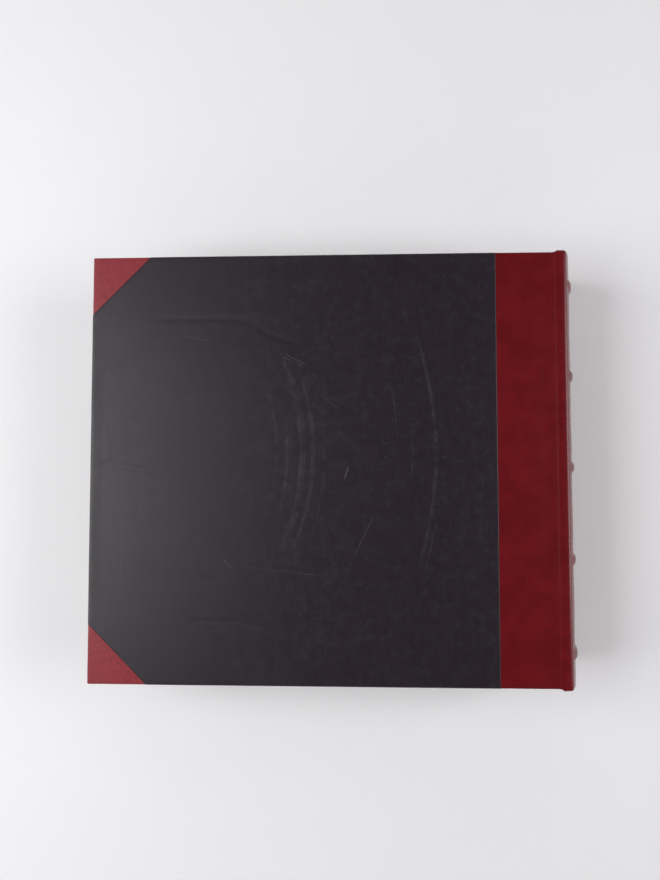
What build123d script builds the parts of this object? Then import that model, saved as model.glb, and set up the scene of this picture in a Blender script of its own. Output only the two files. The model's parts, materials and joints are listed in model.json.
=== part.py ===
"""A post-bound scrapbook album, half bound in leather, with a rigid rounded spine.

Millimetres.  +X runs from the fore-edge towards the spine, +Y towards the head and +Z up.
The album lies closed on its front cover.  The origin is the centre of its footprint.
"""
import os
from math import cos, radians, sin, sqrt

from build123d import *

# ---- driving dimensions: the case
cover_reach = 352.8  # hinge line to fore-edge
cover_height = 324.0  # head to tail
spine_thickness = 80.0  # outer face to outer face at the joints
cover_tilt = 1.8  # degrees: the closed back cover falls towards the fore-edge
skin = 0.6  # cloth and leather on the covers
board = 3.0  # greyboard of the covers
paste_down = 0.4  # endpaper
turn_in = 15.0  # how far cloth and leather are folded round onto the inner face
joint_gap = 3.5  # groove between a cover board and the spine
leather_reach = 45.3  # hinge line to the seam between leather and cloth
corner_leg = 45.0  # legs of a leather corner
endpaper_margin = 4.0

# ---- driving dimensions: the spine
shoulder_reach = 7.2  # hinge line to the shoulder of the spine
spine_bulge = 11.0  # how far the rounded back stands beyond the shoulders
spine_leather_thickness = 0.8
spine_board_thickness = 3.0
spine_lining_thickness = 0.4
shoulder_radius = 1.8
head_cap = 1.5  # the spine is longer than the covers by this at each end
spine_turn_in = 10.0
band_count = 5
band_pitch = 69.3
band_width = 7.0
band_rise = 2.0  # leather-covered band above the leather
band_half_height = 37.5

# ---- driving dimensions: binding and leaves
leaf_count = 13
leaf_tilt = 0.95  # degrees: the leaves close down towards the fore-edge
page_size = 304.8  # 12 in.
page_thickness = 1.1
sleeve_wall = 0.2
sleeve_width = 308.0
sleeve_height = 307.4
fold_gap = 2.0  # from the fold of a sleeve to its pocket, and to its binding strip
strip_width = 27.0
strip_thickness = 0.8
spacer_width = 25.0
binding_inset = 1.3  # from the hinge line of the cover to the bound edge of the leaves
flap_thickness = 2.2
flap_cloth = 0.6
flap_cloth_lap = 5.5
post_pitch = 133.35  # 5.25 in.
post_edge = 12.7  # 0.5 in. from the bound edge
post_radius = 2.5
post_hole_radius = 2.7
thread_radius = 1.5
thread_clearance = 0.05
head_radius = 6.0
head_thickness = 1.5
head_clearance = 0.3
slot_width = 1.2
slot_depth = 0.7
post_length = 36.0
stud_length = 8.0
screw_reach = 10.0

# ---- places worked out from them
half_height = cover_height / 2
mid_height = spine_thickness / 2
overall_length = cover_reach + shoulder_reach + spine_bulge + band_rise
fore_edge_x = -overall_length / 2
hinge_x = fore_edge_x + cover_reach
shoulder_x = hinge_x + shoulder_reach
spine_edge_x = hinge_x + joint_gap / 2
back_radius = (mid_height**2 + spine_bulge**2) / (2 * spine_bulge)
back_centre_x = shoulder_x + spine_bulge - back_radius
cover_thickness = skin + board + skin + paste_down
bound_edge_x = hinge_x - binding_inset
fold_x = bound_edge_x - strip_width - fold_gap
post_x = bound_edge_x - post_edge
front_flap_low = cover_thickness + head_clearance + head_thickness
flap_drop = (hinge_x - fold_x) * sin(radians(cover_tilt))
back_flap_high = spine_thickness - front_flap_low - flap_drop
stack_low = front_flap_low + flap_thickness
stack_high = back_flap_high - flap_thickness
leaf_pitch = (stack_high - stack_low) / leaf_count
post_ys = [-post_pitch, 0.0, post_pitch]
corner_signs = {"head": 1, "tail": -1}


def save(piece, name):
    """Label a finished piece and write it to its own file."""
    piece.part.label = name
    export_step(piece.part, f"parts/{name}.step")


def leaf_level(index):
    """Height of the middle of a leaf's binding strip, counted from the front cover."""
    return stack_low + (index + 0.5) * leaf_pitch


# Each cover is drawn on a plane on its outer face: x runs from the hinge line to the fore-edge,
# and z points out of the album.
def slanted(origin_z, tilt, side):
    """A plane on the line x = hinge_x whose x axis points to the fore-edge, tilted down by tilt degrees."""
    angle = radians(tilt)
    return Plane(
        origin=(hinge_x, 0, origin_z),
        x_dir=(-cos(angle), 0, -sin(angle)),
        z_dir=(-sin(angle) * side, 0, cos(angle) * side),
    )


cover_planes = {
    "front": slanted(0, 0, -1),
    "back": slanted(spine_thickness, cover_tilt, 1),
}
start_x = joint_gap / 2  # where the cover begins, measured from the hinge line

os.makedirs("parts", exist_ok=True)


def cover_sheet(name, plane, low_x, high_x, half_width, top, thickness):
    """A flat sheet in a cover, from depth top to depth top + thickness."""
    with BuildPart() as sheet:
        with BuildSketch(plane.offset(-top)):
            with Locations(((low_x + high_x) / 2, 0)):
                Rectangle(high_x - low_x, 2 * half_width)
        extrude(amount=-thickness)
    return sheet


def cover_skin(plane, outline):
    """Cloth or leather over the part of the board inside outline, turned in round its edges."""
    board_end = cover_reach - skin
    window_end = cover_reach - turn_in
    with BuildPart() as covering:
        with BuildSketch(plane):
            with BuildLine():
                Polyline(*outline, close=True)
            make_face()
        extrude(amount=-(skin + board + skin))
        with BuildSketch(plane.offset(-skin)):
            with Locations(((start_x + board_end) / 2, 0)):
                Rectangle(board_end - start_x, 2 * (half_height - skin))
        extrude(amount=-board, mode=Mode.SUBTRACT)
        with BuildSketch(plane.offset(-skin - board)):
            with Locations(((start_x + window_end) / 2, 0)):
                Rectangle(window_end - start_x, 2 * (half_height - turn_in))
        extrude(amount=-skin, mode=Mode.SUBTRACT)
    return covering


def endpaper(plane):
    """The sheet pasted over the inner face: it fills the window between the turn-ins and laps over them."""
    window_end = cover_reach - turn_in
    sheet_end = cover_reach - endpaper_margin
    with BuildPart() as sheet:
        with BuildSketch(plane.offset(-skin - board)):
            with Locations(((start_x + window_end) / 2, 0)):
                Rectangle(window_end - start_x, 2 * (half_height - turn_in))
        extrude(amount=-skin)
        with BuildSketch(plane.offset(-skin - board - skin)):
            with Locations(((start_x + sheet_end) / 2, 0)):
                Rectangle(sheet_end - start_x, 2 * (half_height - endpaper_margin))
        extrude(amount=-paste_down)
    return sheet


# ---- the two covers
for side, plane in cover_planes.items():
    board_end = cover_reach - skin
    cover_board = cover_sheet(
        f"{side}_cover_board", plane, start_x, board_end, half_height - skin, skin, board
    )
    save(cover_board, f"{side}_cover_board")

    strip_outline = [
        (start_x, -half_height),
        (leather_reach, -half_height),
        (leather_reach, half_height),
        (start_x, half_height),
    ]
    save(cover_skin(plane, strip_outline), f"{side}_leather_strip")

    cloth_outline = [
        (leather_reach, -half_height),
        (cover_reach - corner_leg, -half_height),
        (cover_reach, -half_height + corner_leg),
        (cover_reach, half_height - corner_leg),
        (cover_reach - corner_leg, half_height),
        (leather_reach, half_height),
    ]
    save(cover_skin(plane, cloth_outline), f"{side}_cover_cloth")

    for end, sign in corner_signs.items():
        # the cover plane's y axis points to the tail on the back cover and to the head on the front
        y_sign = sign * (1 if plane.y_dir.Y > 0 else -1)
        corner_outline = [
            (cover_reach, y_sign * (half_height - corner_leg)),
            (cover_reach, y_sign * half_height),
            (cover_reach - corner_leg, y_sign * half_height),
        ]
        save(cover_skin(plane, corner_outline), f"{side}_corner_{end}")

    save(endpaper(plane), f"{side}_endpaper")


# ---- the spine: a rounded shell with a short flat flange at each joint
def spine_outline(inset):
    """Corners of the closed spine section, inset from its outer face: flange, shoulder, back, flange."""
    radius = back_radius - inset
    rise = mid_height - inset
    turn_x = back_centre_x + sqrt(radius**2 - rise**2)
    return radius, rise, turn_x


def spine_layer(outer, inner, low_y, high_y, edge_x=spine_edge_x):
    """A layer of the spine between two insets, from low_y to high_y, starting at edge_x."""
    with BuildPart() as layer:
        for inset, mode in ((outer, Mode.ADD), (inner, Mode.SUBTRACT)):
            radius, rise, turn_x = spine_outline(inset)
            with BuildSketch(Plane.XZ.offset(-high_y)) as section:
                with BuildLine():
                    flange = Line((edge_x, mid_height + rise), (turn_x, mid_height + rise))
                    back = ThreePointArc(
                        flange @ 1, (back_centre_x + radius, mid_height), (turn_x, mid_height - rise)
                    )
                    Polyline(back @ 1, (edge_x, mid_height - rise), flange @ 0)
                make_face()
                shoulders = section.vertices().group_by(Axis.X)[-1]
                fillet(shoulders, max(shoulder_radius - inset, 0.3))
            extrude(amount=high_y - low_y, mode=mode)
    return layer


def band_layer(outer, inner, centre_y, width, half_rise):
    """A rib round the back of the spine between two insets, cut off level near the shoulders."""
    with BuildPart() as rib:
        with BuildSketch(Plane.XZ.offset(-(centre_y + width / 2))):
            with Locations((back_centre_x, mid_height)):
                Circle(back_radius - outer)
                Circle(back_radius - inner, mode=Mode.SUBTRACT)
            with Locations((shoulder_x + spine_bulge, mid_height)):
                Rectangle(4 * spine_bulge, 2 * half_rise, mode=Mode.INTERSECT)
        extrude(amount=width)
    return rib


spine_half = half_height + head_cap
board_half = spine_half - spine_leather_thickness
board_inner = spine_leather_thickness + spine_board_thickness
band_ys = [(index - (band_count - 1) / 2) * band_pitch for index in range(band_count)]

spine_board = spine_layer(spine_leather_thickness, board_inner, -board_half, board_half)
save(spine_board, "spine_board")

# the leather wraps the board's ends, is turned in behind them, and is moulded over the bands
lapped = board_inner + spine_leather_thickness
cover_width = band_width + 2 * spine_leather_thickness
cover_half = band_half_height + spine_leather_thickness
lining_half = spine_half - spine_turn_in
with BuildPart() as spine_leather:
    add(spine_layer(0, lapped, -spine_half, spine_half).part)
    for band_y in band_ys:
        add(band_layer(-band_rise, board_inner / 2, band_y, cover_width, cover_half).part)
    hollow = spine_layer(spine_leather_thickness, board_inner, -board_half, board_half)
    add(hollow.part, mode=Mode.SUBTRACT)
    window = spine_layer(board_inner / 2, lapped + skin, -lining_half, lining_half)
    add(window.part, mode=Mode.SUBTRACT)
    for band_y in band_ys:
        pocket = band_layer(
            spine_leather_thickness - band_rise, board_inner, band_y, band_width, band_half_height
        )
        add(pocket.part, mode=Mode.SUBTRACT)
save(spine_leather, "spine_leather")

for index, band_y in enumerate(band_ys):
    raised_band = band_layer(
        spine_leather_thickness - band_rise,
        spine_leather_thickness,
        band_y,
        band_width,
        band_half_height,
    )
    save(raised_band, f"raised_band_{index + 1}")

spine_lining = spine_layer(
    board_inner, board_inner + spine_lining_thickness, -lining_half, lining_half
)
save(spine_lining, "spine_lining")


# ---- binding: flaps, posts, strips and spacers
def holed_strips(levels, width, thicknesses):
    """Strips along the bound edge with a hole for each post, centred on the given heights."""
    with BuildPart() as strips:
        for level, thickness in zip(levels, thicknesses):
            with BuildSketch(Plane.XY.offset(level - thickness / 2)):
                with Locations((bound_edge_x - width / 2, 0)):
                    Rectangle(width, page_size)
                with Locations(*[(post_x, post_y) for post_y in post_ys]):
                    Circle(post_hole_radius, mode=Mode.SUBTRACT)
            extrude(amount=thickness)
    return strips


flap_levels = {
    "front": stack_low - flap_thickness / 2,
    "back": stack_high + flap_thickness / 2,
}
for side, level in flap_levels.items():
    hinge_flap = holed_strips([level], spacer_width, [flap_thickness])
    save(hinge_flap, f"{side}_hinge_flap")

    # cloth that joins the flap's outer face to the inside of the spine's flange
    up = 1 if side == "back" else -1
    flap_face = level + up * flap_thickness / 2
    flange_face = mid_height + up * (mid_height - board_inner - spine_lining_thickness)
    cloth_start = bound_edge_x - flap_cloth_lap
    cloth_end = spine_edge_x + 2 * flap_cloth
    with BuildPart() as flap_hinge:
        with BuildSketch(Plane.XZ.offset(-page_size / 2)):
            with BuildLine():
                Polyline(
                    (cloth_start, flap_face),
                    (cloth_end, flap_face),
                    (cloth_end, flange_face),
                    (cloth_end - flap_cloth, flange_face),
                    (cloth_end - flap_cloth, flap_face + up * flap_cloth),
                    (cloth_start, flap_face + up * flap_cloth),
                    close=True,
                )
            make_face()
        extrude(amount=page_size)
    save(flap_hinge, f"{side}_flap_hinge")

strip_levels = [leaf_level(index) for index in range(leaf_count)]
binding_strips = holed_strips(strip_levels, strip_width, [strip_thickness] * leaf_count)
save(binding_strips, "binding_strips")

spacer_thickness = leaf_pitch - strip_thickness
end_spacer = spacer_thickness / 2
spacer_levels = [leaf_level(index + 0.5) for index in range(leaf_count - 1)]
end_levels = [stack_low + end_spacer / 2, stack_high - end_spacer / 2]
page_spacers = holed_strips(
    [*spacer_levels, *end_levels],
    spacer_width,
    [spacer_thickness] * (leaf_count - 1) + [end_spacer] * 2,
)
save(page_spacers, "page_spacers")

# each post is a headed barrel, an extension screwed into it and a headed screw
barrel_top = front_flap_low + post_length
extension_top = back_flap_high - head_clearance
screw_low = extension_top - screw_reach
for index, post_y in enumerate(post_ys):
    with BuildPart() as binding_post:
        with Locations((post_x, post_y, front_flap_low - head_thickness)):
            Cylinder(head_radius, head_thickness, align=(Align.CENTER, Align.CENTER, Align.MIN))
        with Locations((post_x, post_y, front_flap_low)):
            Cylinder(post_radius, post_length, align=(Align.CENTER, Align.CENTER, Align.MIN))
        with Locations((post_x, post_y, barrel_top)):
            Hole(thread_radius, depth=stud_length + head_thickness)
        rims = binding_post.edges().filter_by(GeomType.CIRCLE).group_by(Axis.Z)[0]
        fillet(rims, head_thickness / 3)
    save(binding_post, f"binding_post_{index + 1}")

    with BuildPart() as post_screw:
        with Locations((post_x, post_y, back_flap_high + thread_clearance)):
            Cylinder(head_radius, head_thickness, align=(Align.CENTER, Align.CENTER, Align.MIN))
        with Locations((post_x, post_y, screw_low)):
            Cylinder(
                thread_radius - thread_clearance,
                back_flap_high + head_thickness / 2 - screw_low,
                align=(Align.CENTER, Align.CENTER, Align.MIN),
            )
        rims = post_screw.edges().filter_by(GeomType.CIRCLE).group_by(Axis.Z)[-1]
        fillet(rims, head_thickness / 3)
        head_top = back_flap_high + thread_clearance + head_thickness
        with Locations((post_x, post_y, head_top)):
            Box(
                2 * head_radius + slot_width,
                slot_width,
                2 * slot_depth,
                mode=Mode.SUBTRACT,
            )
    save(post_screw, f"post_screw_{index + 1}")

with BuildPart() as post_extensions:
    for post_y in post_ys:
        with Locations((post_x, post_y, barrel_top)):
            Cylinder(
                post_radius,
                extension_top - barrel_top,
                align=(Align.CENTER, Align.CENTER, Align.MIN),
            )
        with Locations((post_x, post_y, barrel_top - stud_length)):
            Cylinder(thread_radius, stud_length, align=(Align.CENTER, Align.CENTER, Align.MIN))
        with Locations((post_x, post_y, extension_top)):
            Hole(thread_radius, depth=screw_reach + head_thickness)
save(post_extensions, "post_extensions")

# ---- leaves: a clear pocket, open at the head, with a page in it
for index in range(leaf_count):
    leaf_plane = Plane(
        origin=(fold_x, 0, leaf_level(index)),
        x_dir=(-cos(radians(leaf_tilt)), 0, -sin(radians(leaf_tilt))),
        z_dir=(-sin(radians(leaf_tilt)), 0, cos(radians(leaf_tilt))),
    )
    pocket_middle = fold_gap + sleeve_width / 2
    sleeve_thickness = page_thickness + 2 * sleeve_wall
    weld = (sleeve_width - page_size) / 2
    # the leaf plane's y axis points to the tail
    with BuildPart() as page_sleeve:
        with BuildSketch(leaf_plane.offset(-sleeve_thickness / 2)):
            with Locations((pocket_middle, 0)):
                Rectangle(sleeve_width, sleeve_height)
        extrude(amount=sleeve_thickness)
        with BuildSketch(leaf_plane.offset(-page_thickness / 2)):
            with Locations((pocket_middle, -weld)):
                Rectangle(page_size, sleeve_height)
        extrude(amount=page_thickness, mode=Mode.SUBTRACT)
    save(page_sleeve, f"page_sleeve_{index + 1:02d}")

    with BuildPart() as page:
        with BuildSketch(leaf_plane.offset(-page_thickness / 2)):
            page_y = sleeve_height / 2 - weld - page_size / 2
            with Locations((pocket_middle, page_y)):
                Rectangle(page_size, page_size)
        extrude(amount=page_thickness)
    save(page, f"page_{index + 1:02d}")

overlap_free = spine_thickness - cover_thickness - sin(radians(cover_tilt)) * (hinge_x - fore_edge_x)
print(f"overall {overall_length:.1f} x {2 * spine_half:.1f} x {spine_thickness:.1f}")
print(f"inner face of the back cover at the fore-edge: {overlap_free:.2f}")
for index in (0, leaf_count - 1):
    fore_level = leaf_level(index) - sin(radians(leaf_tilt)) * (fold_gap + sleeve_width)
    print(f"leaf {index + 1}: strip at {leaf_level(index):.2f}, fore-edge at {fore_level:.2f}")
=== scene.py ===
# %% [markdown]
# # A half-bound scrapbook album
# The album lies closed on its front cover. Its structure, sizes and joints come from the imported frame, and this
# script gives every visible piece its finished shape and surface. All lengths are in metres.
#
# The frame is read first, because everything else takes its place from it. The positions could be typed in again,
# but then they would drift from the frame whenever it changes.

# %% Load the frame
import json
from math import pi, radians

import bmesh
import bpy
import numpy as np
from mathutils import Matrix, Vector


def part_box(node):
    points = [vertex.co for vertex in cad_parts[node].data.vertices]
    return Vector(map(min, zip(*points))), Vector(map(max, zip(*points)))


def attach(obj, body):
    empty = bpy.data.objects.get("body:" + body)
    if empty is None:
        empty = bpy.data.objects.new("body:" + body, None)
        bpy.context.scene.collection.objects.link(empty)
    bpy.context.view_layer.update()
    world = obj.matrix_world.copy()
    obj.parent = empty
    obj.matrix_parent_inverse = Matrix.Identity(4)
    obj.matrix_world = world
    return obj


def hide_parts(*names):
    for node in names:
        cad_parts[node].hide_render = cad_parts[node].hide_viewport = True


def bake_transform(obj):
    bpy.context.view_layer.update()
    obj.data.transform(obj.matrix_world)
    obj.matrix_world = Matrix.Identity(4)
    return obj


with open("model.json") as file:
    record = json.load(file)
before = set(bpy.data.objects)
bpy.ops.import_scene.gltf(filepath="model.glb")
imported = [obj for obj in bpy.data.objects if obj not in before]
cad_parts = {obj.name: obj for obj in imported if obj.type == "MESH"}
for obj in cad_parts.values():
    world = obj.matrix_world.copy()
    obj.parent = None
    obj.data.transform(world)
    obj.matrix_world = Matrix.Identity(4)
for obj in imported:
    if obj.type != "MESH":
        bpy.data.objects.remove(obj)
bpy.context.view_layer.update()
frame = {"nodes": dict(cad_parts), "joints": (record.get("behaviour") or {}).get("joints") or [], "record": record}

MM = 0.001
joints = {joint["name"]: joint for joint in frame["joints"]}
bodies = frame["record"]["behaviour"]["bodies"]
leaf_names = sorted(name for name in bodies if name.startswith("leaf_"))

# %% [markdown]
# ## Where things are
# The covers are two boards hinged at the spine. The closed back cover slopes down to the fore-edge, and the front cover
# lies flat. Each could be modelled where it lies, but then every shape would have to be worked out twice. So a cover is
# described in a flat space of its own: x runs from the hinge line to the fore-edge, y to the head, and z out of the
# album, with 0 on the outer face. One function carries both covers from that space to their place.

# %% Measures read from the frame
hinge_x, _, spine_high = joints["back_cover_hinge"]["pos_m"]
cloth_low, cloth_high = (np.array(c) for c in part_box("front_cover_cloth"))
reach = hinge_x - cloth_low[0]
half_height = cloth_high[1]
board_depth = cloth_high[2] - cloth_low[2]
seam_x = hinge_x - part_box("front_leather_strip")[0][0]
corner_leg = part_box("front_corner_head")[1][0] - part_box("front_corner_head")[0][0]
back_low = np.array(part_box("back_cover_cloth")[0])
cover_tilt = np.arcsin((spine_high - back_low[2] - board_depth) / reach)
spine_top = np.array(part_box("spine_leather")[1])
spine_half = spine_top[1]
print(f"reach {reach:.4f} seam {seam_x:.4f} corner {corner_leg:.4f} tilt {np.degrees(cover_tilt):.2f} deg")


def cover_space(points, side):
    """Flat cover points in the frame: x and z turned by the tilt about the hinge line, y as it is."""
    x, y, z = points.T
    if side == "front":
        return np.stack([hinge_x - x, y, -z], 1)
    c, s = np.cos(cover_tilt), np.sin(cover_tilt)
    return np.stack([hinge_x - x * c - z * s, y, spine_high - x * s + z * c], 1)


# %% [markdown]
# ## Meshes from arrays
# Coverings, leather and film are all thin skins. They could be pulled out of boxes by hand, vertex by vertex. A grid is
# easier to keep exact: a whole array of points worked out at once, and quads between neighbours. One helper turns the
# array into a Blender object at the origin, and Solidify gives it the wall of its material. Planes can cut such a
# surface, which leaves clean straight seams.

# %% Mesh helpers
CREASE_ANGLE = radians(50)  # faces that meet more sharply than this shade as separate sides
TINY = 1e-9  # keeps a length of nothing from being divided by


def grid_faces(rows, columns):
    """Quads between neighbours of a rows x columns grid: corner i, j joins i + 1, then j + 1."""
    i, j = (a.ravel() for a in np.meshgrid(np.arange(rows - 1), np.arange(columns - 1), indexing="ij"))
    first = i * columns + j
    return np.stack([first, first + columns, first + columns + 1, first + 1], 1)


def crease_edges(piece):
    """Keeps the cut edges of a wall crisp, so that two pieces that meet there shade as one surface."""
    split = piece.modifiers.new("crease", "EDGE_SPLIT")
    split.split_angle = CREASE_ANGLE


def make(name, points, faces, material, slot=None, flip=False, thickness=0.0):
    """A smooth object from an array of points and an array of quads, with an optional inward wall."""
    mesh = bpy.data.meshes.new(name)
    if flip:
        faces = faces[:, ::-1]
    mesh.from_pydata(points.tolist(), [], faces.tolist())
    mesh.polygons.foreach_set("use_smooth", [True] * len(mesh.polygons))
    mesh.materials.append(material)
    piece = bpy.data.objects.new(name, mesh)
    bpy.context.scene.collection.objects.link(piece)
    if thickness:
        wall = piece.modifiers.new("wall", "SOLIDIFY")
        wall.thickness = thickness
        wall.offset = -1
        wall.use_even_offset = False
        crease_edges(piece)
    return piece


def grid(name, points, rows, columns, **options):
    """An object from a rows x columns grid of points."""
    return make(name, points.reshape(-1, 3), grid_faces(rows, columns), **options)


def near_edge(low, high, step, radius):
    """Marks along an edge: even in the middle, closer at both ends where the rounding is."""
    ease = radius * (1 - np.tan(np.radians([45, 30, 15])))
    count = max(2, int(round((high - low - 2 * radius) / step)) + 1)
    middle = np.linspace(low + radius, high - radius, count)
    return np.concatenate([low + ease, middle, (high - ease)[::-1]])


def box_grid(xs, ys, zs):
    """The six sides of a box as grids on the given marks, all faces outwards; sides meet at shared places."""
    marks = [xs, ys, zs]
    points, faces, start = [], [], 0
    for axis in range(3):
        a, b = (axis + 1) % 3, (axis + 2) % 3
        for end in (0, -1):
            side = np.zeros((len(marks[a]), len(marks[b]), 3))
            side[..., axis] = marks[axis][end]
            side[..., a] = marks[a][:, None]
            side[..., b] = marks[b][None, :]
            quads = grid_faces(len(marks[a]), len(marks[b])) + start
            faces.append(quads if end == -1 else quads[:, ::-1])
            points.append(side.reshape(-1, 3))
            start += len(points[-1])
    return np.concatenate(points), np.concatenate(faces)


def direction(away):
    """Arrows of length 1: each row divided by its own length."""
    return away / np.maximum(np.linalg.norm(away, axis=1, keepdims=True), TINY)


def round_box(points, low, high, radius):
    """Rounds a box: each point is pushed from the nearest point of the inset box out to the radius."""
    inner = np.clip(points, low + radius, high - radius)
    return inner + direction(points - inner) * radius


def keep_side(bm, point, normal):
    """Cuts the mesh along a plane and keeps the side that the normal points to."""
    everything = bm.verts[:] + bm.edges[:] + bm.faces[:]
    bmesh.ops.bisect_plane(
        bm, geom=everything, plane_co=point, plane_no=normal, clear_inner=True, dist=1e-6
    )


print("mesh helpers ready")

# %% [markdown]
# ## Shader maths
# Real surfaces vary from place to place, and each variation is a sum or product of patterns. The nodes could be wired
# one at a time, but long chains are hard to read. This class wraps a node's output instead, so that Python's own
# operators add the Math nodes, and one function makes every other node.

# %% Shader helpers
class Value:
    """A number that varies over a surface."""

    def __init__(self, socket):
        self.socket = socket

    def _math(self, operation, *others, first=None):
        inputs = [self if first is None else first, *others]
        return node(self.socket.id_data, "Math", {"operation": operation}, *inputs)

    def __add__(self, other):
        return self._math("ADD", other)

    __radd__ = __add__

    def __mul__(self, other):
        return self._math("MULTIPLY", other)

    __rmul__ = __mul__

    def __sub__(self, other):
        return self._math("SUBTRACT", other)

    def __rsub__(self, other):
        return self._math("SUBTRACT", self, first=other)

    def __pow__(self, other):
        return self._math("POWER", other)

    def __abs__(self):
        return self._math("ABSOLUTE")

    def sine(self):
        return self._math("SINE")

    def smallest(self, other):
        return self._math("MINIMUM", other)

    def rise(self, low, high):
        """0 below low, 1 above high, and a smooth step between; low may be the larger."""
        if low > high:
            return 1 - self.rise(high, low)
        settings = {"interpolation_type": "SMOOTHSTEP", "clamp": True}
        return node(self.socket.id_data, "MapRange", settings, self, low, high)


def node(tree, kind, settings, *inputs, output=0, **named):
    """Adds one node: its settings first, then the values or links of its sockets, in order or by name."""
    made = tree.nodes.new("ShaderNode" + kind)
    for key, value in settings.items():
        setattr(made, key, value)
    pairs = list(enumerate(inputs)) + list(named.items())
    for key, value in pairs:
        socket = made.inputs[key.replace("_", " ") if isinstance(key, str) else key]
        if isinstance(value, Value):
            tree.links.new(value.socket, socket)
        elif value is not None:
            socket.default_value = value
    return Value(made.outputs[output])


def blend_colour(tree, factor, first, second):
    """A colour between two, by a factor that may vary."""
    settings = {"data_type": "RGBA", "blend_type": "MIX", "clamp_factor": True}
    made = tree.nodes.new("ShaderNodeMix")
    for key, value in settings.items():
        setattr(made, key, value)
    # the Mix node holds a set of sockets for every kind of data: 0 is the factor, and 6 and 7 are the colours
    for index, value in ((0, factor), (6, first), (7, second)):
        if isinstance(value, Value):
            tree.links.new(value.socket, made.inputs[index])
        else:
            made.inputs[index].default_value = value if index == 0 else (*value, 1)
    return Value(made.outputs[2])


class Surface:
    """A material with one Principled shader, and its place in millimetres from Object coordinates."""

    def __init__(self, name, **constants):
        self.material = bpy.data.materials.new(name)
        self.material.use_nodes = True
        self.tree = self.material.node_tree
        self.shader = self.tree.nodes["Principled BSDF"]
        for key, value in constants.items():
            self.shader.inputs[key.replace("_", " ")].default_value = value
        place = node(self.tree, "TexCoord", {}, output="Object")
        scale = {"operation": "SCALE"}
        self.place = node(self.tree, "VectorMath", scale, place, Scale=1 / MM)
        split = node(self.tree, "SeparateXYZ", {}, self.place).socket.node
        self.x, self.y, self.z = (Value(split.outputs[i]) for i in range(3))

    def stretched(self, x, y, z):
        """The place with each axis scaled, for a pattern that runs along one of them."""
        return node(self.tree, "VectorMath", {"operation": "MULTIPLY"}, self.place, (x, y, z))

    def noise(self, size, detail=3, place=None, roughness=0.55):
        """Soft noise, 0 to 1, with lumps about size millimetres across; roughness weighs its finer layers."""
        inputs = {"Scale": 1 / size, "Detail": detail, "Roughness": roughness}
        return node(self.tree, "TexNoise", {}, Vector=place or self.place, **inputs)

    def cells(self, size, feature="F1"):
        """Distance to the nearest of scattered points about size millimetres apart, in cells."""
        return node(self.tree, "TexVoronoi", {"feature": feature}, Vector=self.place, Scale=1 / size)

    def band(self, distance, width):
        """1 on the line where distance is 0, falling to 0 at width on both sides."""
        return abs(distance).rise(width, 0)

    def link(self, name, value):
        """Feeds a varying value into one of the shader's sockets."""
        self.tree.links.new(value.socket, self.shader.inputs[name])

    def bump(self, height, millimetres, strength):
        """Height, 0 to 1, as a relief of so many millimetres."""
        distance = millimetres * MM
        relief = node(self.tree, "Bump", {}, Strength=strength, Distance=distance, Height=height)
        self.link("Normal", relief)


print("shader helpers ready")

# %% [markdown]
# ## Cover cloth
# The sides are covered in charcoal book cloth, coated so that it looks like fine leather: a pebbled grain, a soft
# gloss, and years of marks. The marks are rub lines that curve about a point beyond the fore-edge, as something swept
# across the cover would leave, fine straight scratches, crease lines darkened with painted shade, and greasy blotches.
# They could be painted on an image, but an image has one resolution and has to be kept beside the script. Here each
# kind of mark is a mask worked out from the place on the cover. It changes the colour and the roughness a little, so it
# shows where light glances off.

# %% Cover cloth finish
RUB_PIVOT = (-210, 12)  # millimetres, in the plane of the cover
# rub lines: radius about the pivot, lowest and highest angle in degrees, width, strength
RUB_LINES = [
    (184.5, -22, 24, 2.6, 0.42),
    (187.2, -20, 20, 0.7, 0.38),
    (193, -21, 17, 1.8, 0.34),
    (194.6, -14, 9, 0.5, 0.50),
    (166, -14, 18, 1.8, 0.24),
    (174, -16, 6, 2.2, 0.34),
    (202, -17, 2, 1.8, 0.20),
    (285, -16, 16, 1.9, 0.42),
    (286.5, -11, 3, 0.5, 0.42),
    (257, 3, 11, 0.7, 0.45),
    (268, -5, 2, 1.0, 0.22),
    (290, -18, -10, 1.2, 0.26),
]
# scratches: both ends in the cover's plane, width, strength; a negative strength is a crease line darkened with painted
# shade
SCRATCHES = [
    ((-171, 5), (-62, -13), 0.9, -1.0),
    ((-171, 1), (-66, -17), 0.8, -0.8),
    ((-116, 101), (-95, 96), 0.35, 0.7),
    ((-71, -74), (-6, -81), 0.4, 0.35),
    ((-161, -28), (-162, -86), 0.35, 0.35),
    ((-40, 84), (-33, 81), 0.45, 0.8),
    ((-30, 80), (-24, 76), 0.4, 0.6),
    ((10, 0), (7, -8), 0.9, 0.8),
    ((28, -38), (14, -66), 0.8, 0.35),
    ((-38, 86), (-22, 78), 0.45, 0.7),
    ((-78, -75), (-84, -69), 0.6, 0.8),
    ((-8, 52), (2, 45), 0.35, 0.5),
]


def between(value, low, high, soft):
    """1 while the value is between two limits, with soft ends."""
    return value.rise(low - soft, low + soft) * value.rise(high + soft, high - soft)


def segment_mask(surface, start, end, width):
    """1 on a straight line between two places: narrow across it, and soft at its ends."""
    (x0, y0), (x1, y1) = start, end
    length = ((x1 - x0) ** 2 + (y1 - y0) ** 2) ** 0.5
    ux, uy = (x1 - x0) / length, (y1 - y0) / length
    dx, dy = surface.x - x0, surface.y - y0
    along = dx * ux + dy * uy
    across = dx * -uy + dy * ux
    return surface.band(across, width) * between(along, 0, length, 0.12 * length)


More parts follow.
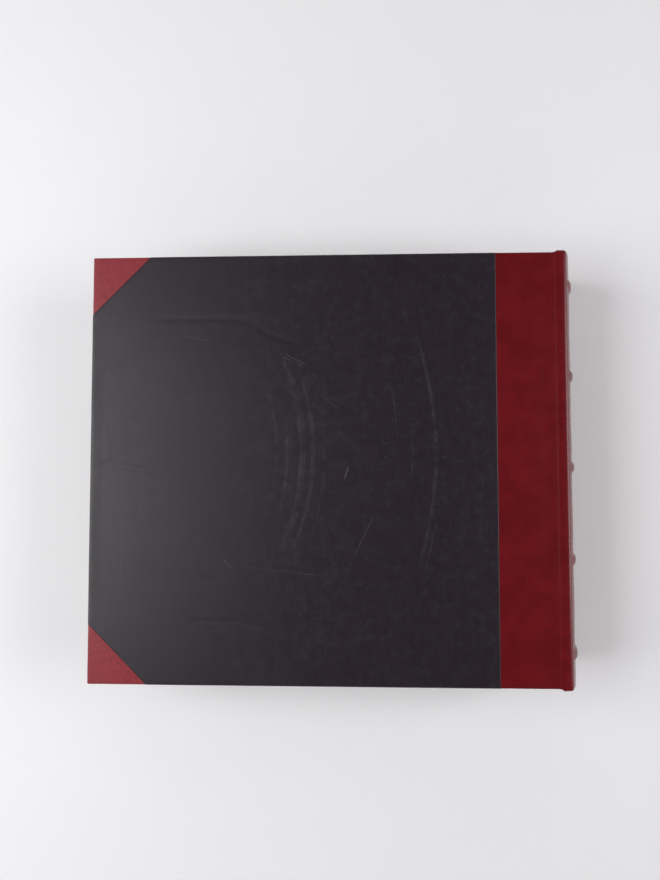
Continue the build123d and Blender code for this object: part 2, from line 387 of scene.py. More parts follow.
def cover_cloth(name, marked):
    """Charcoal coated cloth; the marked one carries the rubs and scratches of the cover that lies on top."""
    s = Surface(name, IOR=1.47)
    blotch = s.noise(38, 4)
    cloud = s.noise(9, 5)
    grain = s.cells(0.85, "SMOOTH_F1") * 0.6 + s.noise(0.5, 2) * 0.5
    # long streaks and short ticks run up the cover, and hairlines run across it
    streak = s.noise(1.0, 3, s.stretched(1.6, 0.05, 1.0))
    tick = s.noise(1.0, 2, s.stretched(1.1, 0.10, 1.0)).rise(0.66, 0.74)
    fleck = s.cells(8.0).rise(0.065, 0.03) * s.noise(21, 2).rise(0.42, 0.55)
    hair = s.noise(1.0, 1, s.stretched(0.10, 1.3, 1.0)).rise(0.70, 0.76)
    hair = hair * s.noise(17, 2).rise(0.5, 0.6)
    lines = 0.22 * tick * blotch.rise(0.35, 0.7) + 0.6 * fleck + 0.2 * hair
    dark = s.noise(7, 6, roughness=0.7).rise(0.50, 0.64) * 0.7
    if marked:
        px, py = RUB_PIVOT
        dx, dy = s.x - px, s.y - py
        radius = (dx * dx + dy * dy) ** 0.5
        angle = node(s.tree, "Math", {"operation": "ARCTAN2"}, dy, dx) * (180 / pi)
        worn = s.noise(9, 3).rise(0.25, 0.75) * s.noise(1.3, 2).rise(0.1, 0.8) * 1.5
        for line_radius, low, high, width, strength in RUB_LINES:
            line = s.band(radius - line_radius, width) * between(angle, low, high, 3.0)
            lines = lines + line * worn * strength
        # scratches with a positive strength are light wear; a crease line darkens the colour as painted shade, with a
        # slight dip in the bump
        for start, end, width, strength in SCRATCHES:
            mark = segment_mask(s, start, end, width)
            if strength > 0:
                lines = lines + mark * strength
            else:
                dark = dark + mark * -strength
    lines = lines.smallest(1.2)
    tone = blotch.rise(0.3, 0.75) * 0.5 + cloud * 0.5
    colour = blend_colour(s.tree, tone, (0.0062, 0.0012, 0.0064), (0.0095, 0.0040, 0.0096))
    colour = blend_colour(s.tree, streak.rise(0.35, 0.8) * 0.35, colour, (0.021, 0.013, 0.021))
    # darker where the cloth is greasy, and painted shade along the crease lines
    colour = blend_colour(s.tree, dark * 0.5, colour, (0.006, 0.004, 0.006))
    colour = blend_colour(s.tree, lines * 0.55, colour, (0.085, 0.088, 0.092))
    s.link("Base Color", colour)
    s.link("Roughness", 0.40 + 0.10 * cloud + 0.10 * lines + 0.10 * dark - 0.05 * blotch)
    s.bump(grain + 0.35 * cloud - 0.8 * dark, 0.05, 0.6)
    return s.material


marked_cloth = cover_cloth("marked_cover_cloth", True)
plain_cloth = cover_cloth("plain_cover_cloth", False)
print("cover cloth", len(marked_cloth.node_tree.nodes), "nodes")

# %% [markdown]
# ## Red leather
# The spine, the strips beside it and the corners are dyed sheepskin, deep red and smooth. The dye lies unevenly in the
# pores, so the colour is mottled, with fine dark flecks. One flat red would look like plastic, and three materials made
# by hand would not match. So one function mixes the same patterns for all three, and three numbers set them apart: the
# rounded spine is rubbed glossier by hands, and the corners are paler, partly faded dye and partly painted sheen of the
# lamp on the left.

# %% Leather finish
def red_leather(name, gloss, fade, shine):
    """Deep red leather; gloss lowers the roughness, fade pales the colour for faded dye and painted sheen, and shine
    scales the reflection.
    """
    s = Surface(name, IOR=1.42, Specular_IOR_Level=shine)
    cloud = s.noise(14, 5)
    mottle = s.noise(2.2, 4)
    pore = s.cells(0.9, "SMOOTH_F1")
    fleck = s.noise(0.8, 3).rise(0.60, 0.74)
    deep, bright, pale_dye_and_sheen = (0.105, 0.0018, 0.0045), (0.135, 0.0030, 0.0062), (0.30, 0.030, 0.042)
    colour = blend_colour(s.tree, cloud.rise(0.3, 0.7), deep, bright)
    # paler by fade: faded dye, with painted sheen standing in for the lamp's reflection on the corners
    colour = blend_colour(s.tree, fade * (0.8 + 0.4 * mottle), colour, pale_dye_and_sheen)
    colour = blend_colour(s.tree, mottle.rise(0.42, 0.75) * 0.5, colour, (0.080, 0.0018, 0.0042))
    colour = blend_colour(s.tree, fleck * 0.45, colour, (0.050, 0.0018, 0.004))
    s.link("Base Color", colour)
    s.link("Roughness", 0.34 - gloss + 0.10 * mottle + 0.05 * cloud)
    s.bump(pore * 0.7 + mottle * 0.5 + s.noise(6, 3) * 0.6, 0.06, 0.55)
    return s.material


leather = red_leather("red_leather", 0.0, 0.0, 0.22)
# the corners' paleness is faded dye, with painted sheen for the reflection of the lamp on the left
corner_leather = red_leather("corner_leather", 0.02, 0.6, 0.4)
spine_skin = red_leather("spine_leather_finish", 0.15, 0.0, 0.5)
print("leather", len(leather.node_tree.nodes), "nodes")

# %% [markdown]
# ## Covering a board
# Cloth and leather are wrapped round the board and turned in over its edges. Each piece could be a sheet folded over
# the board by hand, but then neighbours would hardly meet. So the rounded surface of the whole board is made once and
# cut along the seams. The middle of its inner face is left out, and each part gets a wall of its own thickness. The
# outer face is not quite flat: a board swells a little, and the top cover has long shallow dents.

# %% Cover pieces
EDGE_RADIUS = 1.2 * MM
SKIN = 0.55 * MM  # thickness of the covering
TURN_IN = 15 * MM  # how far the covering is turned in over the inner face
FACE_STEP = 1.5 * MM  # spacing of the points on the faces
LAP = 0.18 * MM  # the cloth overlaps the leather, so it stands this much higher
JOINT_HALF = 1.85 * MM  # half the width of the leather that bends at a joint
GROOVE = 0.32 * MM  # depth of the groove at the hinge line
GROOVE_WIDTH = 2.3 * MM
FADE = 8 * MM  # the relief of the face dies away over this width
HOLLOW = 0.15 * MM  # the face beside the joint is this much lower
HOLLOW_REACH = 15 * MM
# dents, in millimetres: middle x, lowest y, rise per mm squared to the left and to the right, most rise, left end,
# right end, width and depth
DENTS = [
    (-25, 95, 0.0098, 0.0017, 16, -60, 100, 1.9, 0.25),
    (-8, -126, 0.0028, 0.0014, 11.5, -106, 82, 1.9, 0.24),
    (-95, 113.5, 0, 0, 0, -133, -70, 1.8, 0.26),
    (-94, -83.5, 0, 0, 0, -105, -83, 1.7, 0.22),
]


def soft_window(value, low, high, soft):
    """1 between two limits, with raised-cosine ends."""
    up = np.clip((value - low) / soft + 0.5, 0, 1)
    down = np.clip((high - value) / soft + 0.5, 0, 1)
    return (0.5 - 0.5 * np.cos(pi * up)) * (0.5 - 0.5 * np.cos(pi * down))


def groove(away):
    """Drop of the leather near a hinge line: a bell-shaped valley, the same on cover, joint and spine."""
    return -GROOVE * np.exp(-((away / GROOVE_WIDTH) ** 2))


def face_relief(x, y, side):
    """Height of the outer face: a slow swell, and on the back cover the dents, each a valley along a curve."""
    swell = 0.10 * np.sin(x / 61 + 0.4) * np.cos(y / 47) + 0.07 * np.sin((x + 2 * y) / 38)
    relief = swell - 0.10
    if side == "back":
        for middle, low, left, right, most, start, end, width, depth in DENTS:
            away = x - middle
            rise = np.minimum(left * np.minimum(away, 0) ** 2 + right * np.maximum(away, 0) ** 2, most)
            valley = np.exp(-(((y - low - rise) / width) ** 2))
            relief = relief - depth * valley * soft_window(x, start, end, 22)
    return relief * MM


def board_surface(side):
    """The whole rounded board in cover space, with the relief faded out towards its edges."""
    low = np.array([-4 * EDGE_RADIUS, -half_height, -board_depth])
    high = np.array([reach, half_height, 0.0])
    marks = [near_edge(a, b, FACE_STEP, EDGE_RADIUS) for a, b in zip(low[:2], high[:2])]
    near_joint = np.linspace(JOINT_HALF, 6 * MM, 8)
    marks[0] = np.sort(np.concatenate([marks[0], near_joint]))
    marks.append(near_edge(low[2], high[2], board_depth, EDGE_RADIUS))
    points, faces = box_grid(*marks)
    points = round_box(points, low, high, EDGE_RADIUS)
    x, y, z = points.T
    to_edge = np.minimum(reach - x, half_height - np.abs(y))
    outer = z > -board_depth / 2
    weight = (z > -EDGE_RADIUS / 2) * np.clip((to_edge - EDGE_RADIUS) / FADE, 0, 1)
    weight = weight * np.clip((x - 2 * JOINT_HALF) / FADE, 0, 1)
    # beside the joint the face is a little lower, so that the opened cover can lie back on the spine's shoulder
    hollow = np.clip((x - JOINT_HALF) / (1.5 * MM), 0, 1) * np.clip((HOLLOW_REACH - x) / (6 * MM), 0, 1)
    points[:, 2] += face_relief((hinge_x - x) / MM, y / MM, side) * weight
    points[:, 2] += (groove(x) - HOLLOW * hollow) * outer
    centre = points[faces].mean(axis=1)
    inside = (centre[:, 2] < -board_depth + 1e-6) & (centre[:, 0] < reach - TURN_IN)
    inside &= np.abs(centre[:, 1]) < half_height - TURN_IN
    return points, faces[~inside]


def cover_piece(name, side, surface, cuts, lift, node_name, material, slot):
    """One covering: the board surface cut by planes, raised by lift, with a wall, riding on its cover."""
    points, faces = surface
    mesh = bpy.data.meshes.new(name)
    mesh.from_pydata(points.tolist(), [], faces.tolist())
    bm = bmesh.new()
    bm.from_mesh(mesh)
    bpy.data.meshes.remove(mesh)
    bmesh.ops.remove_doubles(bm, verts=bm.verts, dist=1e-7)
    for place, normal in cuts:
        keep_side(bm, place, normal)
    # the points inside the open middle of the inner face belong to no face
    loose = [v for v in bm.verts if not v.link_faces]
    bmesh.ops.delete(bm, geom=loose, context="VERTS")
    bm.verts.index_update()
    cut_points = np.array([v.co for v in bm.verts])
    cut_faces = [[v.index for v in f.verts] for f in bm.faces]
    bm.free()
    # the surface swells out by lift from the middle of the board
    half_depth = board_depth / 2
    core_low = [0, half_depth - half_height, -half_depth]
    core_high = [reach - half_depth, half_height - half_depth, -half_depth]
    away = cut_points - np.clip(cut_points, core_low, core_high)
    cut_points = cut_points + direction(away) * lift
    piece_mesh = bpy.data.meshes.new(name)
    if side == "back":
        cut_faces = [f[::-1] for f in cut_faces]
    piece_mesh.from_pydata(cover_space(cut_points, side).tolist(), [], cut_faces)
    piece_mesh.polygons.foreach_set("use_smooth", [True] * len(piece_mesh.polygons))
    piece_mesh.materials.append(material)
    piece = bpy.data.objects.new(name, piece_mesh)
    bpy.context.scene.collection.objects.link(piece)
    wall = piece.modifiers.new("wall", "SOLIDIFY")
    wall.thickness = SKIN
    wall.offset = -1
    if slot == "red_leather":
        crease_edges(piece)
    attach(piece, f"{side}_cover")
    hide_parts(node_name)
    return piece


SIDES = ("front", "back")
diagonal = 0.5**0.5
for side in SIDES:
    surface = board_surface(side)
    cloth_material = marked_cloth if side == "back" else plain_cloth
    cloth_cuts = [((seam_x, 0, 0), (1, 0, 0))]
    for sign, end in ((1, "head"), (-1, "tail")):
        place = (reach - corner_leg, sign * half_height, 0)
        cloth_cuts.append((place, (-diagonal, -sign * diagonal, 0)))
        corner_cuts = [(place, (diagonal, sign * diagonal, 0))]
        name = f"{side}_corner_{end}"
        cover_piece(f"{name}_skin", side, surface, corner_cuts, 0, name, corner_leather, "red_leather")
    name = f"{side}_cover_cloth"
    slot = "black_leatherette"
    cover_piece(f"{name}_skin", side, surface, cloth_cuts, LAP, name, cloth_material, slot)
    strip_cuts = [((JOINT_HALF, 0, 0), (1, 0, 0)), ((seam_x, 0, 0), (-1, 0, 0))]
    name = f"{side}_leather_strip"
    cover_piece(f"{name}_skin", side, surface, strip_cuts, 0, name, leather, "red_leather")
    print(side, "cover made of", len(surface[1]), "faces")


# %% [markdown]
# ## The leather that bends
# At each joint the leather crosses from the cover to the spine with no board under it, and dips into a shallow groove.
# If it were part of the cover, it would tear away from the spine when the cover opens. It belongs to neither body, so
# it is a narrow piece of its own, attached to neither. A cloth lining is made the same way on the inside, round the
# edges of both boards.

# %% Joint leather and lining
THREAD = 0.55  # millimetres from one thread to the next but one
LINING_MARGIN = 5 * MM  # the lining ends this far short of the head and the tail
# distance from the hinge line and depth under the outer face, in millimetres: along the inside of the cover, over its
# edge, across the joint, and round the edge of the spine
LINING_PATH = [
    (-9, 4.8), (-5, 4.85), (-2.2, 4.85), (-1.7, 4.5), (-1.5, 3), (-1.25, 1.9), (-0.6, 1.5),
    (0.6, 1.5), (1.2, 1.9), (1.4, 3), (1.5, 4.0), (2.1, 4.35),
]


def woven_cloth(name, colour, light):
    """Book cloth: over-and-under threads, as two crossed waves whose product makes the weave."""
    s = Surface(name, Roughness=0.8, IOR=1.45)
    pitch = 2 * pi / THREAD
    slub = s.noise(1.0, 3, s.stretched(2.0, 0.2, 1.0))
    weave = (s.x * pitch + slub * 2).sine() * ((s.y + s.z) * pitch + slub * 2).sine()
    tone = weave * 0.25 + s.noise(5, 4) * 0.7 + slub * 0.2
    s.link("Base Color", blend_colour(s.tree, tone.rise(0.1, 0.9), colour, light))
    s.link("Roughness", 0.72 + 0.16 * slub)
    s.bump(weave * 0.5 + slub * 0.5, 0.05, 0.7)
    return s.material


joint_cloth = woven_cloth("joint_cloth", (0.012, 0.012, 0.013), (0.03, 0.03, 0.032))


def side_height(x, depth, side):
    """Height of a place at depth under the outer face; the back cover's face falls by tan(tilt) times x."""
    fall = np.tan(cover_tilt) * np.maximum(hinge_x - x, 0)
    return spine_high - fall - depth if side == "back" else depth


def bent_strip(name, side, away, depth, half, thickness, material, slot, inner=False):
    """A strip along the hinge line: a profile of distance and depth, drawn out to half(away) at both ends.

    An inner strip faces the leaves, so its faces point the other way and its wall grows towards the board.
    """
    across = np.linspace(-1, 1, 61)
    x = hinge_x + away
    points = np.zeros((len(away), len(across), 3))
    points[..., 0] = x[:, None]
    points[..., 1] = np.outer(half(away), across)
    points[..., 2] = side_height(x, depth, side)[:, None]
    piece = grid(
        name, points, *points.shape[:2], material=material, slot=slot, thickness=thickness,
        flip=(side == "front") != inner,
    )
    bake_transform(piece)
    return piece


def joint_half_length(away):
    """Half length of the joint leather: it grows smoothly from the cover's height to the spine's."""
    t = np.clip((away + JOINT_HALF) / (2 * JOINT_HALF), 0, 1)
    return half_height + (spine_half - half_height) * t * t * (3 - 2 * t) - 0.1 * MM


def lining_half_length(away):
    """Half length of the lining: the same all the way across."""
    return half_height - LINING_MARGIN + 0 * away


for side in SIDES:
    away = np.linspace(-JOINT_HALF, JOINT_HALF, 13)
    bent_strip(
        f"{side}_joint_leather", side, away, -groove(away), joint_half_length,
        0.8 * MM, leather, "red_leather",
    )
    away, depth = np.array(LINING_PATH).T * MM
    bent_strip(
        f"{side}_joint_lining", side, away, depth, lining_half_length,
        0.15 * MM, joint_cloth, "joint_cloth", inner=True,
    )
    print(side, "joint leather and lining made")

# %% [markdown]
# ## The spine
# A rigid rounded spine: flat for a few millimetres beside each joint, turned over a shoulder, and round across the
# back. Five raised bands cross it under the leather. A bent plate with five bars on it would show the bars' edges,
# where real leather is drawn tight over them and eases down at their sides. So the leather is one surface. Its section
# is worked out for any depth below the surface, so the same stations serve the outside and the turned-in ends, and the
# bands are a rise of that surface.

# %% Spine leather
SHOULDER = 1.9 * MM  # the turn over each shoulder starts and ends this far from its corner
FLANGE = 5.35 * MM  # the flat beside each joint, out to the corner of the shoulder
SPINE_WALL = 4.6 * MM  # board and leather together
SPINE_TURN_IN = 10 * MM
SQUARENESS = 0.6  # power of the superellipse at the head and the tail; 1 would be a half circle
BAND_TOP = 1.3 * MM  # half width of a band's flat top
BAND_EASE = 4.0 * MM  # width of the slope on each side of it
BAND_END = 39.2 * MM  # half length of a band round the back
BAND_FADE = 9 * MM
band_names = [f"raised_band_{i}" for i in range(1, 6)]
spine_edge = hinge_x + JOINT_HALF
middle = spine_high / 2
band_boxes = [np.array(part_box(name)) for name in band_names]
band_ys = [box[:, 1].mean() for box in band_boxes]
band_rise = spine_top[0] - max(box[1, 0] for box in band_boxes) + 1.2 * MM
shoulder_x = spine_edge + FLANGE
bulge = spine_top[0] - band_rise - shoulder_x
back_radius = (middle**2 + bulge**2) / (2 * bulge)
back_centre = shoulder_x + bulge - back_radius


def spine_section(inset):
    """Stations round the spine at one inset: flange, eased shoulder, arc of the back, shoulder, flange.

    The shoulder is a quadratic curve: its middle point is the corner, and its ends lie SHOULDER along each side.
    """
    radius, rise = back_radius - inset, middle - inset
    corner = np.array([back_centre + np.sqrt(radius**2 - rise**2), rise])
    ease = max(SHOULDER - 0.3 * inset, 0.5 * MM)
    turn = np.arcsin(rise / radius) - ease / radius
    flange_x = np.linspace(spine_edge, corner[0] - ease, 7)[:-1]
    flange = np.stack([flange_x, np.full(6, rise)], 1)
    if inset < SPINE_WALL / 2:
        flange[:, 1] += groove(flange_x - hinge_x)
    t = np.linspace(0, 1, 7)[:, None]
    first = np.array([corner[0] - ease, rise])
    last = np.array([back_centre + radius * np.cos(turn), radius * np.sin(turn)])
    shoulder = (1 - t) ** 2 * first + 2 * t * (1 - t) * corner + t**2 * last
    angles = np.linspace(turn, 0, 28)[1:]
    arc = np.stack([back_centre + radius * np.cos(angles), radius * np.sin(angles)], 1)
    half = np.concatenate([flange, shoulder, arc])
    other = half[-2::-1] * [1, -1]
    return np.concatenate([half, other])


def spine_skin_points():
    """Grid of stations by places along the spine: out along the back, and round each end to its turn-in."""
    end_radius = SPINE_WALL / 2
    straight = np.arange(-spine_half + end_radius, spine_half - end_radius, 0.9 * MM)
    # the end is a half superellipse, squarer than a half circle, as leather drawn tight over board is
    angles = np.radians(np.linspace(180, 0, 17))
    c, s = np.cos(angles), np.sin(angles)
    end_inset = end_radius * (1 - np.sign(c) * np.abs(c) ** SQUARENESS)
    end_y = spine_half - end_radius + end_radius * np.clip(s, 0, 1) ** SQUARENESS
    turned_y = np.linspace(spine_half - SPINE_TURN_IN, end_y[0], 5)[:-1]
    head_y = np.concatenate([turned_y, end_y])
    head_inset = np.concatenate([np.full(4, SPINE_WALL), end_inset])
    inset = np.concatenate([head_inset, 0 * straight, head_inset[::-1]])
    y = np.concatenate([-head_y, straight, head_y[::-1]])
    sections = np.stack([spine_section(value) for value in inset], 1)
    points = np.zeros((*sections.shape[:2], 3))
    points[..., 0] = sections[..., 0]
    points[..., 1] = y[None, :]
    points[..., 2] = sections[..., 1]
    # the bands: flat-topped ribs with eased sides that die away before the shoulders
    slopes = [np.clip((np.abs(y - band_y) - BAND_TOP) / BAND_EASE, 0, 1) for band_y in band_ys]
    ribs = sum(0.5 + 0.5 * np.cos(pi * slope) for slope in slopes)
    reach_up = np.clip((BAND_END - np.abs(points[..., 2])) / BAND_FADE, 0, 1)
    fade = reach_up * reach_up * (3 - 2 * reach_up)
    outward = points[..., [0, 2]] - [back_centre, 0]
    outward /= np.linalg.norm(outward, axis=-1, keepdims=True)
    on_face = (inset < MM)[None, :]
    # between the bands the leather is worked a little hollow, and lies slightly uneven
    uneven = 0.10 * np.sin(y[None, :] / (9 * MM)) * np.sin(points[..., 2] / (13 * MM)) * MM
    rise = (0.85 * band_rise * ribs[None, :] * fade + uneven * fade) * on_face
    points[..., [0, 2]] += outward * rise[..., None]
    points[..., 2] += middle
    return points


spine_points = spine_skin_points()
spine_piece = grid(
    "spine_leather_skin", spine_points, *spine_points.shape[:2],
    material=spine_skin, slot="red_leather", thickness=0.75 * MM,
)
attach(spine_piece, "spine")
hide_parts("spine_leather", *band_names)
print("spine", spine_points.shape, "bulge", round(bulge / MM, 2), "band rise", round(band_rise / MM, 2))

# %% [markdown]
# ## Paper, board and foam
# The boards are grey millboard made from pulped paper, the endpapers are a warm laid paper that is pasted down, and the
# spacers between the leaves are foam strips that keep room for photographs. The frame's shapes are already right for
# these, so they aren't built again: they only get finishes. Each finish is mixed from patterns at the size of its
# fibres, lines or bubbles.


# %% Paper, board and foam finishes
def dress(material, *names):
    """Gives nodes of the frame a finish."""
    for name in names:
        piece = frame["nodes"][name]
        piece.data.materials.clear()
        piece.data.materials.append(material)


def pulp(name, colour, light, fibre):
    """Paper or board: a cloudy pulp with a fine tooth, and fibres of the given length in millimetres."""
    s = Surface(name, Roughness=0.9, IOR=1.45)
    cloud = s.noise(6, 5)
    fibres = s.noise(1.0, 2, s.stretched(3.0, 1 / fibre, 3.0)).rise(0.62, 0.7)
    tooth = s.noise(0.4, 3)
    tone = cloud * 0.7 + tooth * 0.3
    base = blend_colour(s.tree, tone.rise(0.35, 0.65), colour, light)
    dark = tuple(c * 0.6 for c in colour)
    s.link("Base Color", blend_colour(s.tree, fibres * 0.4, base, dark))
    s.link("Roughness", 0.8 + 0.15 * tooth)
    s.bump(tooth * 0.7 + fibres * 0.3, 0.05, 0.6)
    return s.material


def laid_paper(name, colour, light):
    """Laid paper: close fine lines one way, a chain line every 25 mm the other way, and a cloudy pulp."""
    s = Surface(name, Roughness=0.85, IOR=1.45)
    laid = (s.x * (2 * pi / 1.1) + s.noise(8, 2) * 1.5).sine() * 0.5 + 0.5
    chain = (s.y * (2 * pi / 25.0)).sine().rise(0.985, 1.0)
    cloud = s.noise(30, 5)
    speck = s.noise(0.9, 2).rise(0.70, 0.76)
    tone = (cloud * 0.8 + laid * 0.12 + chain * 0.15).rise(0.25, 0.8)
    base = blend_colour(s.tree, tone, light, colour)
    dark = tuple(c * 0.55 for c in colour)
    s.link("Base Color", blend_colour(s.tree, speck * 0.5, base, dark))
    s.link("Roughness", 0.78 + 0.14 * cloud)
    s.bump(laid * 0.6 + chain * 0.4 + s.noise(0.5, 2) * 0.4, 0.04, 0.6)
    return s.material


def foam(name):
    """Dense white foam strip: a scatter of small closed cells."""
    s = Surface(name, Roughness=0.85, IOR=1.45)
    bubble = s.cells(0.45)
    cloud = s.noise(8, 4)
    tone = cloud * 0.6 + bubble * 0.5
    s.link("Base Color", blend_colour(s.tree, tone, (0.66, 0.65, 0.62), (0.8, 0.79, 0.77)))
    s.link("Roughness", 0.78 + 0.15 * bubble)
    s.bump(bubble, 0.10, 0.7)
    return s.material


endpaper = laid_paper("endpaper", (0.60, 0.545, 0.455), (0.66, 0.61, 0.52))
greyboard = pulp("greyboard", (0.24, 0.22, 0.20), (0.33, 0.31, 0.28), 1.6)
page_card = pulp("page_card", (0.70, 0.66, 0.58), (0.78, 0.75, 0.68), 0.8)
spacer_foam = foam("spacer_foam")
dress(endpaper, "front_endpaper", "back_endpaper")
dress(greyboard, "front_cover_board", "back_cover_board", "spine_board")
dress(joint_cloth, "spine_lining", *[f"{side}_hinge_flap" for side in SIDES])
dress(joint_cloth, *[f"{side}_flap_hinge" for side in SIDES])
dress(spacer_foam, "page_spacers")
print("dressed the boards, endpapers, flaps, lining and spacers")

# %% [markdown]
# ## Posts and clear film
# The leaves hang on three aluminium posts. Their heads are turned on a lathe, which leaves fine rings, and the screws
# have a slot. The pockets are clear polypropylene, and each binding strip is a stiffer white edge of the same film.
# Rings could be modelled as grooves, but they are far finer than anything that shows as shape, so they are a wave of
# the distance from each post's axis. Clear film could be glass, which is slow and bends the picture behind it. A film
# this thin only adds gloss, so it is mostly see-through face on, and less so at a low angle.


# %% Metal and film finishes
def turned_metal(name, centres):
    """Turned aluminium: rings about each post's axis, crossed by faint handling marks."""
    s = Surface(name, Metallic=1.0, IOR=1.5)
    rings = 0.5
    for cx, cy in centres:
        dx, dy = s.x - cx, s.y - cy
        near = (dx * dx + dy * dy) ** 0.5
        rings = rings + (near * (2 * pi / 0.22)).sine() * 0.25 * near.rise(8, 7)
    scuff = s.noise(1.4, 4).rise(0.55, 0.75)
    cloud = s.noise(5, 4)
    s.link("Base Color", blend_colour(s.tree, cloud, (0.60, 0.60, 0.61), (0.74, 0.74, 0.75)))
    s.link("Roughness", 0.26 + 0.12 * rings + 0.18 * scuff)
    s.bump(rings + scuff * 0.2, 0.012, 0.5)
    return s.material


def film(name, colour, clear):
    """Plastic film; clear film shows what is under it when seen face on, and its gloss at a low angle."""
    s = Surface(name, IOR=1.49)
    cloud = s.noise(26, 3)
    haze = s.noise(1.2, 3)
    drawn = s.noise(1.0, 2, s.stretched(0.02, 0.6, 1.0))
    dull = tuple(0.9 * c for c in colour)
    s.link("Base Color", blend_colour(s.tree, cloud * 0.6 + haze * 0.3, colour, dull))
    s.link("Roughness", 0.08 + 0.10 * haze + (0.0 if clear else 0.25))
    s.bump(drawn * 0.6 + cloud * 0.8, 0.08, 0.35)
    if clear:
        facing = node(s.tree, "LayerWeight", {}, 0.28, output="Facing")
        s.link("Alpha", 0.11 + 0.04 * cloud + 0.5 * facing**2)
    return s.material


post_names = [f"binding_post_{i}" for i in (1, 2, 3)]
screw_names = [f"post_screw_{i}" for i in (1, 2, 3)]
post_boxes = [np.array(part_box(name)) for name in post_names]
post_centres = [tuple(box.mean(axis=0)[:2] / MM) for box in post_boxes]
post_metal = turned_metal("post_metal", post_centres)
clear_film = film("clear_film", (0.86, 0.88, 0.90), True)
white_film = film("white_film", (0.72, 0.72, 0.71), False)
dress(post_metal, "post_extensions", *post_names, *screw_names)
dress(white_film, "binding_strips")
print("posts at", post_centres)

# %% [markdown]
# ## Leaves
# Every leaf is a clear pocket with a cream card inside, hung by a fold of film from its binding strip. The pocket is
# two films, welded together on three sides and open at the head. A flat box of film would look like a sheet of glass,
# so both films are grids that come together at the welds and swell a little between them. The fold is the leaf's joint,
# so it is a piece of its own, attached to neither the spine nor the leaf. One function makes every leaf from its own
# place.

# %% Leaves
WELD = 1.4 * MM  # width of a weld
FILM = 0.12 * MM  # both films where they are welded, measured from the middle
SWELL = 0.06 * MM  # the pocket is this much fuller in its middle
SLACK = 0.25 * MM  # how far the fold sags


def leaf_space(points, fold, tilt):
    """Points of a flat leaf (x towards the fore-edge from the fold) turned down by the leaf's tilt."""
    x, y, z = np.moveaxis(points, -1, 0)
    c, s = np.cos(tilt), np.sin(tilt)
    return np.stack([fold[0] - x * c - z * s, y, fold[1] - x * s + z * c], -1)


def pocket(x, y, gap, x_low, x_high, y_low, y_high):
    """Half thickness of a pocket: the films part over the weld's width, except at the open head."""
    to_edge = np.minimum(np.minimum(x - x_low, x_high - x), y - y_low)
    t = np.clip(to_edge / WELD, 0, 1)
    u, v = (x - x_low) / (x_high - x_low), (y - y_low) / (y_high - y_low)
    swell = SWELL * np.sin(pi * u) * np.sin(pi * v)
    return FILM + (gap - FILM + swell) * t * t * (3 - 2 * t)


def leaf_pieces(name):
    """The two films and the fold of one leaf; the card inside is a frame node."""
    number = name[-2:]
    fold_x, _, fold_z = joints[f"{name}_turn"]["pos_m"]
    low, high = (np.array(c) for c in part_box(f"page_sleeve_{number}"))
    # the tilt follows from the middle of the pocket, which lies below the fold line
    centre = (low + high) / 2
    tilt = np.arcsin((fold_z - centre[2]) / (fold_x - centre[0]))
    near = (fold_x - high[0]) / np.cos(tilt)
    far = (fold_x - low[0]) / np.cos(tilt)
    gap = (high[2] - low[2] - (far - near) * np.sin(tilt)) / np.cos(tilt) / 2 - SWELL
    weld, margin = WELD * np.linspace(0, 1, 5), 6 * MM
    xs = np.concatenate([near + weld, np.linspace(near + margin, far - margin, 40), far - weld[::-1]])
    ys = np.concatenate([low[1] + weld, np.linspace(low[1] + margin, high[1], 42)])
    x, y = np.meshgrid(xs, ys, indexing="ij")
    half = pocket(x, y, gap, near, far, low[1], high[1])
    films = [leaf_space(np.stack([x, y, up * half], -1), (fold_x, fold_z), tilt) for up in (1, -1)]
    points = np.concatenate([f.reshape(-1, 3) for f in films])
    faces = grid_faces(len(xs), len(ys))
    both = np.concatenate([faces[:, ::-1], faces + len(xs) * len(ys)])
    finish = {"material": clear_film, "slot": "clear_sleeve"}
    sleeve = make(f"page_sleeve_{number}_film", points, both, thickness=FILM / 2, **finish)
    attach(sleeve, name)
    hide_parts(f"page_sleeve_{number}")
    # the fold: flat film from the binding strip's edge to the pocket's, a little slack in the middle
    t = np.linspace(0, 1, 13)
    sag = SLACK * np.sin(pi * t) ** 2 + near * np.sin(tilt) * t * t
    across = np.linspace(low[1], high[1], 31)
    fold_points = np.zeros((len(t), len(across), 3))
    fold_points[..., 0] = (fold_x + near - 2 * near * t)[:, None]
    fold_points[..., 1] = across
    fold_points[..., 2] = (fold_z - sag)[:, None]
    shape = fold_points.shape[:2]
    fold = grid(f"page_fold_{number}", fold_points, *shape, thickness=2 * FILM, flip=True, **finish)
    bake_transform(fold)
    dress(page_card, f"page_{number}")
    return tilt, gap


for name in leaf_names:
    tilt, gap = leaf_pieces(name)
print(f"{len(leaf_names)} leaves, tilt {np.degrees(tilt):.2f} deg, pocket half {gap / MM:.2f} mm")

# %% [markdown]
# ## Floor, light and camera
# The album lies on a plain pale floor, and the camera looks almost straight down from just over half a metre. One hard
# lamp would give black shadows, and an even sky would hide the grain and the dents. So a broad soft lamp on the left
# rakes across the covers, one opposite fills the shadow beside the spine, and two weak ones light the head and the
# tail. The sky is bright near the horizon and dim overhead, so that dark cloth seen from above stays dark.

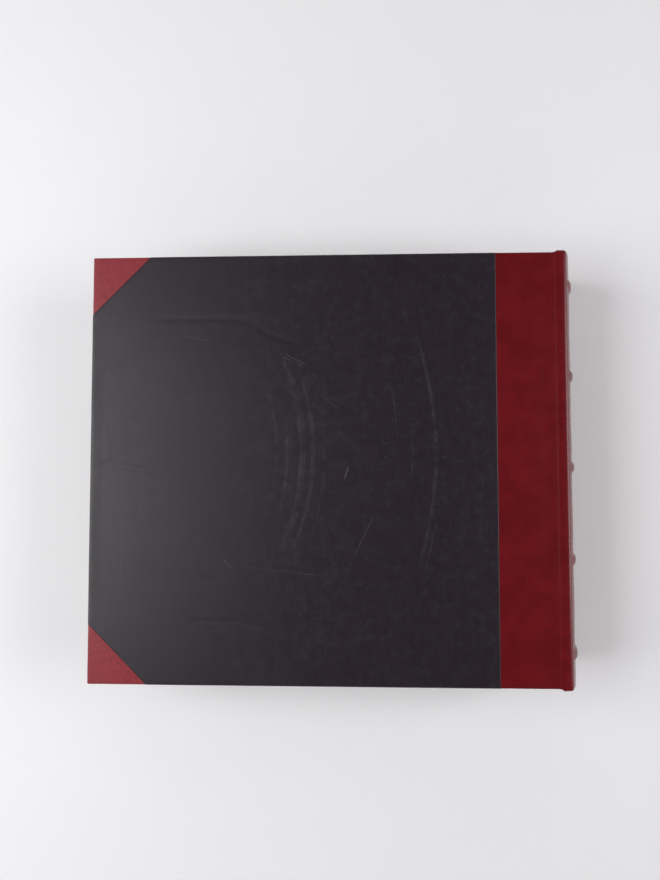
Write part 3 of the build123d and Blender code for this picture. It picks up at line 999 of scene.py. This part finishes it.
# %% Floor, light and camera
floor_surface = Surface("floor", Roughness=0.9, IOR=1.4)
floor_tone = floor_surface.noise(40, 3)
floor_surface.link(
    "Base Color", blend_colour(floor_surface.tree, floor_tone, (0.80, 0.79, 0.805), (0.815, 0.805, 0.82))
)
floor_surface.link("Roughness", 0.85 + 0.05 * floor_tone)
FLOOR_HALF = 6
FLOOR_DROP = 0.2 * MM  # keeps the floor from lying in the same plane as the cover
floor_marks = np.linspace(-FLOOR_HALF, FLOOR_HALF, 7)
floor_x, floor_y = np.meshgrid(floor_marks, floor_marks, indexing="ij")
floor_points = np.stack([floor_x, floor_y, 0 * floor_x - FLOOR_DROP], -1)
floor = grid("floor", floor_points, 7, 7, material=floor_surface.material)


def area_light(name, location, target, size, energy):
    """A soft rectangular light of so many watts, aimed at a place."""
    data = bpy.data.lights.new(name, "AREA")
    data.shape = "RECTANGLE"
    data.size, data.size_y = size
    data.energy = energy
    lamp = bpy.data.objects.new(name, data)
    lamp.location = location
    lamp.rotation_euler = (Vector(target) - Vector(location)).to_track_quat("-Z", "Y").to_euler()
    bpy.context.scene.collection.objects.link(lamp)


area_light("key", (-0.95, 0.0, 0.95), (-0.05, 0, 0.05), (0.9, 0.8), 14)
area_light("fill", (1.3, 0.05, 0.8), (0, 0, 0.05), (0.9, 1.1), 13)
area_light("head_fill", (0, 1.4, 0.9), (0, 0, 0.05), (1.4, 0.8), 3)
area_light("tail_fill", (0, -1.4, 0.9), (0, 0, 0.05), (1.4, 0.8), 3)

world = bpy.data.worlds.new("studio")
world.use_nodes = True
world.node_tree.nodes["Background"].inputs["Color"].default_value = (0.97, 0.97, 1.0, 1)
sky = world.node_tree
ray = node(sky, "TexCoord", {}, output="Generated")
height = Value(node(sky, "SeparateXYZ", {}, ray).socket.node.outputs[2])
brightness = 0.15 + 0.55 * height.rise(0.55, 0.0)
sky.links.new(brightness.socket, sky.nodes["Background"].inputs["Strength"])
bpy.context.scene.world = world
bpy.context.scene.view_settings.view_transform = "Standard"

camera_data = bpy.data.cameras.new("camera")
camera_data.lens = 28.06  # millimetres
camera_data.sensor_width = 36
camera = bpy.data.objects.new("camera", camera_data)
camera.location = (0.0006, -0.0051, 0.5896)
camera.rotation_euler = [radians(angle) for angle in (2.86, 0.49, -0.05)]
bpy.context.scene.collection.objects.link(camera)
bpy.context.scene.camera = camera
print("floor, four lights, sky and camera made")
